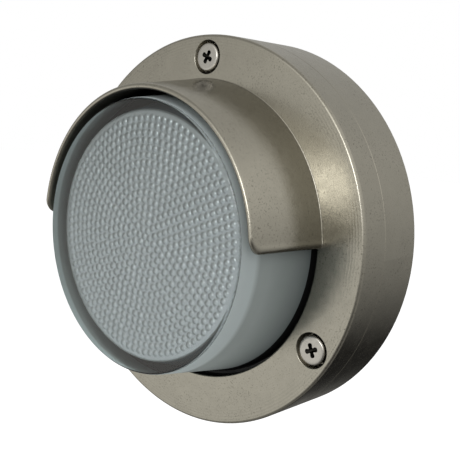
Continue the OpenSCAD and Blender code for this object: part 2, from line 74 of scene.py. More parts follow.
# Faceplate
face_t = 4
wall_t = 3.5
body_draft = 0.4
edge_r = 0.9
seam_bevel = 0.2
ring_w = 15
lip_r = 0.5
screw_inset = 6.8
counterbore_r = 5.1
counterbore_foot_r = 4.6
counterbore_cone = 1.0
counterbore_depth = 3.1
counterbore_rim = 0.2
screw_angles = (90, 210, 330)
clamp_angles = (30, 150, 270)
screw_boss_r = 6.4
clamp_boss_r = 4
clamp_hole_r = 1.55
clamp_inset = 4.4
pocket_inset = 4.2
cutter_over = 1

# Hood
hood_nose_inset = 1.8
hood_root_t = 1.6
hood_front_t = 1.7
hood_step = 0.15
hood_end_angle = 4.2
hood_nose = 0.85
hood_nose_inside = 0.85
hood_end = 1.5
hood_end_inside = 0.35
# Painted shade on the hood's inner side: its inset from the middle of the skin, and the depth and
# heights over which it darkens
hood_painted_shade_inset = 0.35
hood_painted_shade_depth = 9
hood_painted_shade_low = 22
hood_painted_shade_high = 46
hood_corner = 3
hood_bead = 0.1
hood_bead_fade = 1.4
hood_middle_r = 45
hood_fillet = 0.25
hood_sunk = 1

# Lens
lens_gap = 2
lens_taper = 3.7
lens_front_t = 7
lens_margin = 3.1
lens_wall_t = 3.6
lens_flange_t = 2.8
lens_gasket_t = 1.5
lens_edge_r = 0.6
lens_sides = 240
lens_seat_gap = 0.03
# The lens's side: painted light near the solid front, painted shade towards the foot
pale_end = 0.3
pale_full = 1.5
shade_start = 4
pebble_pitch = 2.15
pebble_rows = 16
pebble_step = 2.38
pebble_r = 0.93
pebble_h = 0.17
pebble_grid = 0.22
pebble_edge = 0.8

# Screws
head_r = 4.25
head_h = 2.5
head_round = 0.55
shank_r = 2
washer_t = 0.6
recess_r = 2.15
recess_depth = 1.7
recess_turns = (62, 50, 22)
# The depths in each recess that take the painted shade
recess_painted_shade = (0.12, 2.1)

front_r = body_r - body_draft
seam_r = body_r - body_draft * seam_z / face_z
cavity_r = body_r - wall_t - body_draft
opening_r = front_r - ring_w
face_back = face_z - face_t
face_seat = face_z - counterbore_depth
screw_circle = front_r - screw_inset
hood_root_r = opening_r + hood_step + hood_root_t
hood_front_r = opening_r - hood_nose_inset
lens_foot_r = opening_r - lens_gap
lens_front_r = lens_foot_r - lens_taper
disc_r = lens_front_r - lens_margin
disc_z = lens_z - lens_front_t
lens_slope = lens_taper / (lens_z - face_z)
flange_front = face_back - lens_gasket_t
flange_back = flange_front - lens_flange_t
pocket_r = screw_circle - pocket_inset
flange_r = 1000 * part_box("lens")[1].x
clamp_circle = cavity_r - clamp_inset


# Meshes


def metres(points):
    """Points of the light's own frame, in millimetres, as the row frame's metres."""
    p = np.asarray(points, float)
    return np.stack([p[:, 0], -p[:, 2], p[:, 1]], 1) / 1000


def own_point(place):
    """A place in the row frame's metres as a point of the light's own frame."""
    return 1000 * place.x, 1000 * place.z, -1000 * place.y


def mesh_object(name, points, faces, slots=None, sharp=30):
    """An object from points in millimetres, with outward normals and sharp edges over an angle."""
    mesh = bpy.data.meshes.new(name)
    mesh.from_pydata(metres(points).tolist(), [], faces)
    if slots is not None:
        mesh.polygons.foreach_set("material_index", slots)
    work = bmesh.new()
    work.from_mesh(mesh)
    bmesh.ops.recalc_face_normals(work, faces=work.faces)
    work.to_mesh(mesh)
    work.free()
    finish_mesh(mesh, sharp)
    made = bpy.data.objects.new(name, mesh)
    bpy.context.scene.collection.objects.link(made)
    return made


def finish_mesh(mesh, sharp=30):
    """Smooth shading, with sharp edges over an angle in degrees."""
    mesh.shade_smooth()
    mesh.set_sharp_from_angle(angle=math.radians(sharp))
    mesh.update()


def arc(cx, cy, r, start, end, steps):
    """Points along an arc, angles in degrees."""
    turns = np.radians(np.linspace(start, end, steps + 1))
    return [(cx + r * math.cos(a), cy + r * math.sin(a)) for a in turns]


class Rings:
    """Points and faces of a body built from rings round an axis, ring by ring."""

    def __init__(self):
        self.points, self.faces, self.slots, self.last = [], [], [], None

    def ring(self, r, z, count, slot=0, lift=None):
        """Adds a ring at radius r and height z, or a point where r is 0, joined to the last."""
        first = len(self.points)
        count = 1 if r == 0 else count
        turns = 2 * math.pi * np.arange(count) / count
        x, y = r * np.cos(turns), r * np.sin(turns)
        heights = np.full(count, float(z)) if lift is None else z + lift(x, y)
        self.points += list(zip(x, y, heights))
        if self.last is not None:
            self.join(self.last, (first, count), slot)
        self.last = (first, count)

    def join(self, a, b, slot):
        (a0, na), (b0, nb) = a, b
        before = len(self.faces)
        if na == nb:
            self.faces += [
                (a0 + i, a0 + (i + 1) % na, b0 + (i + 1) % nb, b0 + i) for i in range(na)
            ]
        elif na == 1 or nb == 1:
            tip, start, n = (a0, b0, nb) if na == 1 else (b0, a0, na)
            self.faces += [(tip, start + i, start + (i + 1) % n) for i in range(n)]
        else:
            i = j = 0
            while i < na or j < nb:
                if j >= nb or (i < na and (i + 1) * nb <= (j + 1) * na):
                    self.faces.append((a0 + i % na, a0 + (i + 1) % na, b0 + j % nb))
                    i += 1
                else:
                    self.faces.append((a0 + i % na, b0 + (j + 1) % nb, b0 + j % nb))
                    j += 1
        self.slots += [slot] * (len(self.faces) - before)


def turned(profile, count, at=(0, 0), closed=True):
    """Points and faces of a profile of (radius, height) turned round an axis through at."""
    rings = Rings()
    for r, z in profile:
        rings.ring(r, z, count)
    if closed:
        rings.join(rings.last, (0, count), 0)
    points = np.array(rings.points, float)
    points[:, 0] += at[0]
    points[:, 1] += at[1]
    return points, rings.faces


def joined(parts):
    """Several (points, faces) as one."""
    points, faces, start = [], [], 0
    for p, f in parts:
        points.append(np.asarray(p, float))
        faces += [tuple(start + i for i in face) for face in f]
        start += len(p)
    return np.concatenate(points), faces


def on_circle(r, degrees):
    """A point on a circle round the light's axis."""
    return r * math.cos(math.radians(degrees)), r * math.sin(math.radians(degrees))


def cut(body, tool, operation):
    """Changes body by a boolean with tool, and removes the tool."""
    change = body.modifiers.new(operation, "BOOLEAN")
    change.operation, change.solver, change.object = operation, "EXACT", tool
    bpy.context.view_layer.update()
    old = body.data
    body.data = bpy.data.meshes.new_from_object(
        body.evaluated_get(bpy.context.evaluated_depsgraph_get())
    )
    body.modifiers.clear()
    bpy.data.meshes.remove(old)
    bpy.data.objects.remove(tool)


# Faceplate with its hood


def smooth_step(t):
    t = np.clip(t, 0, 1)
    return t * t * (3 - 2 * t)


def rim_point(turn, half, flare, lower):
    """Out and across, a point of the rim's section: a broad round outside, a tighter one inside."""
    outside = lower * hood_end + (1 - lower) * hood_nose
    inside = lower * hood_end_inside + (1 - lower) * hood_nose_inside
    c, s = math.cos(turn), math.sin(turn)
    if c > 1e-9:
        return outside * s, half - outside + outside * c + flare * c
    if c < -1e-9:
        return outside - inside + inside * s, inside - half + inside * c
    return outside, (inside - outside) / 2


def hood_rows(top):
    """From the hood's foot to its front edge: height, inset, turn of the edge and flare."""
    fillet = np.radians([75, 60, 45, 30, 15, 0])
    rows = [(face_z - hood_sunk, 0, 0, hood_fillet * (1 - math.cos(fillet[0])))]
    for a in fillet:
        height = face_z + hood_fillet * (1 - math.sin(a))
        rows.append((height, 0, 0, hood_fillet * (1 - math.cos(a))))
    for height in np.linspace(face_z + hood_fillet, top - hood_corner, 14)[1:]:
        rows.append((height, 0, 0, 0))
    for a in np.radians(np.linspace(0, 90, 11)[1:]):
        height = top - hood_corner + hood_corner * math.sin(a)
        rows.append((height, hood_corner * (1 - math.cos(a)), a, 0))
    return rows


def hood_places():
    """Places round the hood, as shares of its span and as distances from the nearer end."""
    span = math.radians(180 - 2 * hood_end_angle) * hood_middle_r
    near = np.array([0, 0.25, 0.5, 0.8, 1.1, 1.5, 2, 2.8, 3.8])
    middle = np.linspace(near[-1], span - near[-1], 150)[1:-1]
    places = np.concatenate([near, middle, span - near[::-1]])
    return places / span, np.minimum(places, span - places)


def hood_directions(angle, turn, side, along):
    """Outward direction in the skin at its edge, and the skin's normal."""
    radial = np.array([math.cos(angle), math.sin(angle), 0])
    round_ = np.array([-math.sin(angle), math.cos(angle), 0]) * side
    up = radial * along[0] + np.array([0, 0, along[1]])
    normal = radial * along[1] - np.array([0, 0, along[0]])
    return math.cos(turn) * round_ + math.sin(turn) * up, normal


def hood_faces(rows, columns, strips):
    """The faces of the two skins, of the rim between them and of the hidden foot."""
    faces, shift = [], rows * columns
    for i in range(rows - 1):
        for j in range(columns - 1):
            a, b = i * columns + j, (i + 1) * columns + j
            faces.append((a, a + 1, b + 1, b))
            faces.append((shift + a, shift + b, shift + b + 1, shift + a + 1))
    for a, b in zip(strips, strips[1:]):
        faces += [(a[k], b[k], b[k + 1], a[k + 1]) for k in range(len(a) - 1)]
    for j in range(columns - 1):
        faces.append((j, shift + j, shift + j + 1, j + 1))
    return faces + [tuple(strips[0]), tuple(reversed(strips[-1]))]


def hood_rim(points, edge, rows, columns, steps=12):
    """Adds the rim's points, and returns a strip of point numbers for each place along it."""
    loop = [(i, 0) for i in range(rows)]
    loop += [(rows - 1, j) for j in range(1, columns)]
    loop += [(i, columns - 1) for i in range(rows - 2, -1, -1)]
    strips = []
    for i, j in loop:
        p, out, normal, half, flare, lower = edge[i, j]
        outer = i * columns + j
        strip = [outer]
        for k in range(1, steps):
            o, n = rim_point(math.pi * k / steps, half, flare, lower)
            strip.append(len(points))
            points.append(p + out * o + normal * n)
        strips.append(strip + [rows * columns + outer])
    return strips


def hood():
    """The hood as a skin with a rolled rim: (points, faces)."""
    root_mid = hood_root_r - hood_root_t / 2
    front_mid = hood_front_r - hood_front_t / 2
    rise = hood_z - face_z
    along = np.array([front_mid - root_mid, rise]) / math.hypot(front_mid - root_mid, rise)
    rows = hood_rows(hood_z - hood_nose - (hood_front_t / 2 - hood_nose) * abs(along[0]))
    shares, from_end = hood_places()
    columns = len(shares)

    outer, inner, edge = [], [], {}
    for i, (z, inset, turn, flare) in enumerate(rows):
        share = min(max((z - face_z) / rise, 0), 1)
        mid = root_mid + (front_mid - root_mid) * share
        thickness = hood_root_t + (hood_front_t - hood_root_t) * share
        first = math.radians(hood_end_angle) + inset / mid
        lower = 1 - smooth_step(turn / math.radians(70))
        for j, angle in enumerate(first + (math.pi - 2 * first) * shares):
            end = j in (0, columns - 1)
            bead = hood_bead * lower * (1 - smooth_step(from_end[j] / hood_bead_fade))
            half = thickness / 2 + bead
            p = np.array([mid * math.cos(angle), mid * math.sin(angle), z])
            side = -1 if j < columns / 2 else 1
            out, normal = hood_directions(angle, turn if end else math.pi / 2, side, along)
            outer.append(p + normal * (half + flare))
            inner.append(p - normal * half)
            if end or i == len(rows) - 1:
                edge[i, j] = (p, out, normal, half, flare, lower if end else 0)

    points = outer + inner
    strips = hood_rim(points, edge, len(rows), columns)
    return np.array(points), hood_faces(len(rows), columns, strips)


def inside_hood(r, z):
    """Whether a point above the ring lies on the hood's inner side."""
    root, front = hood_root_r - hood_root_t / 2, hood_front_r - hood_front_t / 2
    middle = root + (front - root) * (z - face_z) / (hood_z - face_z)
    return z > face_z + 0.05 and r < middle - hood_painted_shade_inset


def plate_profile():
    """The faceplate's section, from its seam over the outer edge to the opening and back."""
    profile = [(cavity_r, seam_z), (seam_r - seam_bevel, seam_z)]
    profile += arc(seam_r - seam_bevel, seam_z + seam_bevel, seam_bevel, -60, -6, 3)
    profile += arc(front_r - edge_r, face_z - edge_r, edge_r, 0, 90, 8)
    profile += [(front_r - edge_r - 0.1, face_z), (opening_r + lip_r + 0.1, face_z)]
    profile += arc(opening_r + lip_r, face_z - lip_r, lip_r, 90, 180, 5)
    profile += [(opening_r, face_back), (cavity_r - 1.5, face_back)]
    return profile + arc(cavity_r - 1.5, face_back - 1.5, 1.5, 90, 0, 5)


def boss(r, low, degrees, circle):
    """A round boss that hangs from the back of the front plate."""
    top = face_back + cutter_over
    profile = [(0, low), (r, low), (r, top), (0, top)]
    return turned(profile, 64, on_circle(circle, degrees), closed=False)


def counterbore(degrees):
    """The cutter for one counterbore with a softened rim, and its screw hole."""
    rim = counterbore_rim
    wide = arc(counterbore_r + rim, face_z - rim, rim, 180, 105, 5)
    hole_r, low = shank_r + 0.2, seam_z - cutter_over
    profile = [(0, low), (hole_r, low), (hole_r, face_seat)]
    foot_r = counterbore_foot_r
    profile += [(foot_r - 0.2, face_seat), (foot_r, face_seat + 0.2)]
    profile.append((foot_r, face_z - counterbore_cone))
    profile += wide + [(wide[-1][0], face_z + cutter_over), (0, face_z + cutter_over)]
    return turned(profile, 96, on_circle(screw_circle, degrees), closed=False)


def clamp_hole(degrees):
    """The cutter for the screw hole in one of the bosses that clamp the lens."""
    low = flange_back - cutter_over
    profile = [(0, low), (clamp_hole_r, low), (clamp_hole_r, face_back), (0, face_back)]
    return turned(profile, 32, on_circle(clamp_circle, degrees), closed=False)


def pocket():
    """The cutter for the room behind the front plate that takes the lens's flange."""
    low = seam_z - cutter_over
    profile = [(0, low), (pocket_r, low), (pocket_r, face_back), (0, face_back)]
    return turned(profile, 192, closed=False)


def build_faceplate():
    """The casting; its inside faces have the second material, a painted shade."""
    body = mesh_object("faceplate_casting", *turned(plate_profile(), 288))
    extra = [boss(screw_boss_r, seam_z, a, screw_circle) for a in screw_angles]
    extra += [boss(clamp_boss_r, flange_back, a, clamp_circle) for a in clamp_angles]
    cut(body, mesh_object("extra", *joined(extra + [hood()])), "UNION")
    holes = [counterbore(a) for a in screw_angles] + [clamp_hole(a) for a in clamp_angles]
    cut(body, mesh_object("holes", *joined(holes + [pocket()])), "DIFFERENCE")
    finish_mesh(body.data, 28)
    # The opening's bore, the back of the front plate and the hood's inner side get the painted shade
    for face in body.data.polygons:
        x, y, z = own_point(face.center)
        r = math.hypot(x, y)
        bore = abs(r - opening_r) < 0.1 and z < face_z - lip_r
        inner = z < face_back + 0.01 and r < cavity_r
        face.material_index = int(bore or inner or inside_hood(r, z))
    even = body.modifiers.new("even_normals", "WEIGHTED_NORMAL")
    even.keep_sharp = True
    return body


# Screws


def recess_outline(scale, points_per_lobe=10):
    """A cross with four flared lobes, as (x, y) points."""
    outline = []
    for quarter in range(4):
        for k in range(points_per_lobe):
            t = k / points_per_lobe * 2 - 1
            a = math.radians(45 * t)
            arm = math.exp(-((t / 0.68) ** 6))
            r = recess_r * (0.42 + 0.58 * arm) * (1 - 0.1 * abs(t) * arm)
            outline.append((quarter * math.pi / 2 + a, r * scale))
    return [(r * math.cos(a), r * math.sin(a)) for a, r in outline]


def recess_cutter(turn):
    """A tapering cross that is deepest in the middle."""
    levels = [(0.6, 1.12), (0, 1), (-0.5, 0.86), (-1.1, 0.6), (-recess_depth, 0.26)]
    points, faces = [], []
    c, s = math.cos(turn), math.sin(turn)
    for z, scale in levels:
        points += [(x * c - y * s, x * s + y * c, z) for x, y in recess_outline(scale)]
    n = len(points) // len(levels)
    for level in range(len(levels) - 1):
        for i in range(n):
            a, b = level * n + i, level * n + (i + 1) % n
            faces.append((a, b, b + n, a + n))
    faces.append(tuple(range(n)))
    faces.append(tuple(range(n * (len(levels) - 1), n * len(levels))))
    return np.array(points), faces


def screw_parts():
    """The three screws and the cutters for their recesses."""
    top = face_seat + washer_t + head_h
    bottom = 1000 * -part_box("face_screws")[1].y
    bodies, cutters = [], []
    for degrees, turn in zip(screw_angles, recess_turns):
        at = on_circle(screw_circle, degrees)
        profile = [(0, bottom), (shank_r - 0.4, bottom), (shank_r, bottom + 0.4)]
        z = bottom + 0.6
        while z < face_seat - 1.5:
            profile += [(shank_r, z), (shank_r - 0.3, z + 0.35)]
            z += 0.7
        profile += [(shank_r, top - head_h - 0.8), (shank_r, top - head_h)]
        profile += [(head_r - 0.25, top - head_h), (head_r, top - head_h + 0.25)]
        profile += arc(head_r - head_round, top - head_round, head_round, 0, 82, 6)
        profile += [(head_r - head_round - 0.5, top), (0, top)]
        bodies.append(turned(profile, 96, at, closed=False))
        points, faces = recess_cutter(math.radians(turn))
        cutters.append((points + np.array([at[0], at[1], top]), faces))
    return bodies, cutters


def build_screws():
    """The face screws with their cross recesses; the recesses have the second material, a painted
    shade.
    """
    bodies, cutters = screw_parts()
    body = mesh_object("face_screws_detailed", *joined(bodies))
    cut(body, mesh_object("recesses", *joined(cutters)), "DIFFERENCE")
    finish_mesh(body.data, 28)
    top = face_seat + washer_t + head_h
    centres = [on_circle(screw_circle, degrees) for degrees in screw_angles]
    # Faces deep in a recess get the painted shade
    for face in body.data.polygons:
        x, y, z = own_point(face.center)
        near = min(math.hypot(x - cx, y - cy) for cx, cy in centres)
        deep = recess_painted_shade[0] < top - z < recess_painted_shade[1]
        face.material_index = int(near < recess_r * 1.1 and deep)
    return body


# Lens


def pebble_lift(x, y):
    """Height of the pebbled face: flat-topped round bumps in rows round the middle."""
    r, a = np.hypot(x, y), np.arctan2(y, x)
    row = np.rint(r / pebble_pitch)
    best = np.full(len(x), 99.0)
    for k in (row - 1, row, row + 1):
        k = np.clip(k, 0, pebble_rows)
        count = np.maximum(np.rint(2 * math.pi * k * pebble_pitch / pebble_step), 1)
        step = 2 * math.pi / count
        shift = step * (0.5 + 0.37 * k)
        near = np.rint((a - shift) / step) * step + shift
        r = k * pebble_pitch
        best = np.minimum(best, np.hypot(x - r * np.cos(near), y - r * np.sin(near)))
    t = np.clip(best / pebble_r, 0, 1)
    return pebble_h * (1 - t**4)


def lens_outer(z):
    """Radius of the lens's tapering side."""
    return lens_foot_r + lens_slope * (face_z - z)


def build_lens():
    """The lens from the middle of its front, round its side and flange, to its pebbled back."""
    # The last slot paints the lens's foot and flange near black, a painted shade in the gap round
    # the foot; the inside slot gets the near-black inner wall, also a painted shade
    clear, frosted, inside, side, foot_shade = 0, 1, 2, 3, 4
    rings = Rings()
    rings.ring(0, lens_z, 1)
    for r in np.linspace(6, lens_front_r - lens_edge_r - 0.2, 6):
        rings.ring(r, lens_z, lens_sides, clear)
    for r, z in arc(lens_front_r - lens_edge_r, lens_z - lens_edge_r, lens_edge_r, 90, 8, 6):
        rings.ring(r, z, lens_sides, clear)
    for z in np.linspace(lens_z - lens_edge_r - 0.3, face_z - 0.3, 12):
        rings.ring(lens_outer(z), z, lens_sides, side)
    front, back = flange_front - lens_seat_gap, flange_back + lens_seat_gap
    for z in (face_z - 0.5, front):
        rings.ring(lens_outer(z), z, lens_sides, foot_shade)
    inner_foot = lens_outer(flange_back) - lens_wall_t
    for r, z in ((flange_r, front), (flange_r, back), (inner_foot, back)):
        rings.ring(r, z, lens_sides, foot_shade)
    for t in np.linspace(0, 1, 9)[1:]:
        z = flange_back + (disc_z - pebble_edge - flange_back) * t
        r = inner_foot + (disc_r - inner_foot) * (z - flange_back) / (disc_z - flange_back)
        rings.ring(r, z, lens_sides, inside)
    for r, z in arc(disc_r - 0.6, disc_z - pebble_edge, pebble_edge, 20, 90, 4):
        rings.ring(min(r, disc_r), z, lens_sides, frosted)
    for r in np.arange(disc_r - 0.9, pebble_grid, -pebble_grid):
        count = max(6, round(2 * math.pi * r / pebble_grid))
        rings.ring(r, disc_z, count, frosted, pebble_lift)
    rings.ring(0, disc_z, 1, frosted, pebble_lift)
    return mesh_object("lens_pebbled", rings.points, rings.faces, rings.slots, sharp=40)


# Materials


def node(tree, kind, inputs=None, **settings):
    """A shader node; each input is a value, or another node's output to join to it."""
    made = tree.nodes.new(kind)
    for key, value in settings.items():
        setattr(made, key, value)
    for key, value in (inputs or {}).items():
        if isinstance(value, bpy.types.NodeSocket):
            tree.links.new(value, made.inputs[key])
        else:
            made.inputs[key].default_value = value
    return made


def new_material(name):
    """An empty material and its node tree."""
    made = bpy.data.materials.new(name)
    made.use_nodes = True
    made.node_tree.nodes.clear()
    return made, made.node_tree


def noise(tree, size_mm, detail=2.0, rough=0.5):
    """Noise whose main lumps have a size in millimetres, from 0 to 1."""
    place = node(tree, "ShaderNodeTexCoord").outputs["Object"]
    return node(
        tree,
        "ShaderNodeTexNoise",
        {"Vector": place, "Scale": 1000 / size_mm, "Detail": detail, "Roughness": rough},
    ).outputs["Fac"]


def ranged(tree, value, low, high, to_low, to_high):
    """A value's range from low to high, stretched to another range and held at its ends."""
    return node(
        tree,
        "ShaderNodeMapRange",
        {"Value": value, "From Min": low, "From Max": high, "To Min": to_low, "To Max": to_high},
    ).outputs["Result"]


def mixed(tree, share, a, b):
    """A mix of two colours by a share from 0 to 1."""
    made = node(tree, "ShaderNodeMix", {0: share}, data_type="RGBA")
    for i, value in ((6, a), (7, b)):
        if isinstance(value, bpy.types.NodeSocket):
            tree.links.new(value, made.inputs[i])
        else:
            made.inputs[i].default_value = (*value, 1)
    return made.outputs[2]


def bump(tree, height, depth_mm, before=None):
    """A normal for bumps of a depth in millimetres, on top of the normal before."""
    inputs = {"Height": height, "Distance": depth_mm / 1000, "Strength": 1.0}
    if before is not None:
        inputs["Normal"] = before
    return node(tree, "ShaderNodeBump", inputs).outputs["Normal"]


def output(tree, shader):
    """Joins a shader to the material's surface."""
    node(tree, "ShaderNodeOutputMaterial", {"Surface": shader})


def turning_marks(tree):
    """Fine rings round the light's axis, near the ring's outer edge."""
    place = node(tree, "ShaderNodeTexCoord").outputs["Object"]
    flat = node(
        tree, "ShaderNodeVectorMath", {0: place, 1: (1, 0, 1)}, operation="MULTIPLY"
    ).outputs["Vector"]
    r = node(tree, "ShaderNodeVectorMath", {0: flat}, operation="LENGTH").outputs["Value"]
    shown = ranged(tree, r, (front_r - 6.5) / 1000, (front_r - 3) / 1000, 0, 1)
    rings = node(
        tree,
        "ShaderNodeTexWave",
        {"Vector": flat, "Scale": 349, "Distortion": 2, "Detail": 2, "Detail Scale": 1.5},
        wave_type="RINGS",
        rings_direction="Y",
    ).outputs["Fac"]
    return node(tree, "ShaderNodeMath", {0: rings, 1: shown}, operation="MULTIPLY").outputs[0]


def satin_nickel():
    """A plated casting: gentle waves from polishing, fine grain and scattered dark specks."""
    made, tree = new_material("satin_nickel")
    specks = ranged(tree, noise(tree, 0.55, 3.0, 0.65), 0.57, 0.66, 0, 1)
    patches = ranged(tree, noise(tree, 16), 0.40, 0.58, 0.25, 1)
    marked = node(
        tree, "ShaderNodeMath", {0: specks, 1: patches}, operation="MULTIPLY"
    ).outputs[0]
    tone = mixed(tree, noise(tree, 6, 6.0, 0.75), (0.31, 0.296, 0.256), (0.382, 0.365, 0.316))
    color = mixed(tree, marked, tone, (0.2, 0.19, 0.16))
    waves = bump(tree, noise(tree, 12, 1.0), 0.12)
    turned = bump(tree, turning_marks(tree), 0.008, waves)
    grain = bump(tree, noise(tree, 0.4, 3.0), 0.012, turned)
    shader = node(
        tree,
        "ShaderNodeBsdfPrincipled",
        {
            "Base Color": color,
            "Metallic": 1.0,
            "Roughness": ranged(tree, noise(tree, 2.5, 3.0), 0.3, 0.7, 0.19, 0.27),
            "Normal": grain,
        },
    ).outputs[0]
    output(tree, shader)
    return made


def metal(name, color, dark, rough=(0.18, 0.3)):
    """Turned, pressed or brushed metal with a fine grain."""
    made, tree = new_material(name)
    shader = node(
        tree,
        "ShaderNodeBsdfPrincipled",
        {
            "Base Color": mixed(tree, noise(tree, 3), dark, color),
            "Metallic": 1.0,
            "Roughness": ranged(tree, noise(tree, 1.2), 0.3, 0.7, *rough),
            "Normal": bump(tree, noise(tree, 0.4, 3.0), 0.004),
        },
    ).outputs[0]
    output(tree, shader)
    return made


def painted_shade_casting():
    """Painted shade on the casting: dim metal near the hood's front, near black deep under the hood,
    high inside it and in the recesses.
    """
    made, tree = new_material("painted_shade_casting")
    place = node(tree, "ShaderNodeTexCoord").outputs["Object"]
    parts = node(tree, "ShaderNodeSeparateXYZ", {0: place}).outputs
    # Painted shade: darker with depth behind the hood's front and with height inside the hood
    deep = ranged(tree, parts["Y"], -hood_z / 1000, (hood_painted_shade_depth - hood_z) / 1000, 0, 1)
    high = ranged(tree, parts["Z"], hood_painted_shade_low / 1000, hood_painted_shade_high / 1000, 0, 1)
    painted_dark = node(tree, "ShaderNodeMath", {0: deep, 1: high}, operation="MAXIMUM").outputs[0]
    shader = node(
        tree,
        "ShaderNodeBsdfPrincipled",
        {
            "Base Color": mixed(tree, painted_dark, (0.24, 0.23, 0.195), (0.028, 0.027, 0.024)),
            "Metallic": 1.0,
            "Roughness": ranged(tree, noise(tree, 1.2), 0.3, 0.7, 0.4, 0.55),
            "Normal": bump(tree, noise(tree, 0.4, 3.0), 0.004),
        },
    ).outputs[0]
    output(tree, shader)
    return made


def moulded(name, color, dark, rough=(0.4, 0.55), shine=0.5):
    """Moulded plastic, rubber or silicone with a slightly uneven skin."""
    made, tree = new_material(name)
    shader = node(
        tree,
        "ShaderNodeBsdfPrincipled",
        {
            "Base Color": mixed(tree, noise(tree, 5), dark, color),
            "Specular IOR Level": shine,
            "Roughness": ranged(tree, noise(tree, 2), 0.3, 0.7, *rough),
            "Normal": bump(tree, noise(tree, 0.8, 3.0), 0.01),
        },
    ).outputs[0]
    output(tree, shader)
    return made


def lamps_pass(tree, shader, color):
    """Lets light from the lamps through, as clear glass does."""
    shadow = node(tree, "ShaderNodeLightPath").outputs["Is Shadow Ray"]
    through = node(tree, "ShaderNodeBsdfTransparent", {"Color": (*color, 1)}).outputs[0]
    return node(tree, "ShaderNodeMixShader", {0: shadow, 1: shader, 2: through}).outputs[0]


def clear_glass():
    """The smooth front of the lens, with a faint grey-green tint."""
    made, tree = new_material("clear_lens")
    shader = node(
        tree,
        "ShaderNodeBsdfPrincipled",
        {
            "Base Color": (0.78, 0.86, 0.885, 1),
            "Transmission Weight": 1.0,
            "IOR": 1.5,
            "Roughness": ranged(tree, noise(tree, 9), 0.3, 0.7, 0.0, 0.03),
            "Normal": bump(tree, noise(tree, 14, 1.0), 0.02),
        },
    ).outputs[0]
    output(tree, lamps_pass(tree, shader, (0.9, 0.94, 0.94)))
    return made


def satin_glass(light, dark, pale, shade):
    """The etched side of the lens: paler round the solid front, a painted light, and darker towards
    its foot, a painted shade.
    """
    made, tree = new_material("lens_side")
    normal = bump(tree, noise(tree, 0.4, 2.0), 0.004)
    rough = node(
        tree,
        "ShaderNodeBsdfPrincipled",
        {
            "Base Color": (0.9, 0.95, 0.96, 1),
            "Transmission Weight": 1.0,
            "IOR": 1.5,
            "Roughness": ranged(tree, noise(tree, 5), 0.3, 0.7, 0.38, 0.46),
            "Normal": normal,
        },
    ).outputs[0]
    tone = mixed(tree, noise(tree, 7), dark, light)
    place = node(tree, "ShaderNodeTexCoord").outputs["Object"]
    depth = node(tree, "ShaderNodeSeparateXYZ", {0: place}).outputs["Y"]
    # Painted shade: darker from a little behind the pebbled back towards the foot
    foot_shade = ranged(tree, depth, (shade_start - disc_z) / 1000, -face_z / 1000, 0, shade)
    tone = mixed(tree, foot_shade, tone, (0.06, 0.078, 0.085))
    # Painted light: paler near the front, where the glass is solid
    pale_from, pale_to = -(disc_z + pale_full) / 1000, (pale_end - disc_z) / 1000
    tone = mixed(tree, ranged(tree, depth, pale_from, pale_to, 1, 0), tone, pale)
    front = node(tree, "ShaderNodeBsdfDiffuse", {"Color": tone, "Normal": normal}).outputs[0]
    back = node(tree, "ShaderNodeBsdfTranslucent", {"Color": tone, "Normal": normal}).outputs[0]
    haze = node(tree, "ShaderNodeMixShader", {0: 0.03, 1: front, 2: back}).outputs[0]
    shader = node(tree, "ShaderNodeMixShader", {0: 0.985, 1: rough, 2: haze}).outputs[0]
    output(tree, lamps_pass(tree, shader, (0.5, 0.53, 0.54)))
    return made


def frosted_glass(name, color, dark, shine, rough, through):
    """The inside of the lens: frosted, and seen through the clear glass in front of it."""
    made, tree = new_material(name)
    tone = mixed(tree, noise(tree, 7), dark, color)
    normal = bump(tree, noise(tree, 0.35, 2.0), 0.006)
    body = node(tree, "ShaderNodeBsdfDiffuse", {"Color": tone, "Normal": normal}).outputs[0]
    behind = node(tree, "ShaderNodeBsdfTranslucent", {"Color": tone, "Normal": normal}).outputs[0]
    skin = node(
        tree,
        "ShaderNodeBsdfGlossy",
        {"Color": (0.9, 0.95, 0.97, 1), "Roughness": rough, "Normal": normal},
    ).outputs[0]
    matt = node(tree, "ShaderNodeMixShader", {0: through, 1: body, 2: behind}).outputs[0]
    output(tree, node(tree, "ShaderNodeMixShader", {0: shine, 1: matt, 2: skin}).outputs[0])
    return made


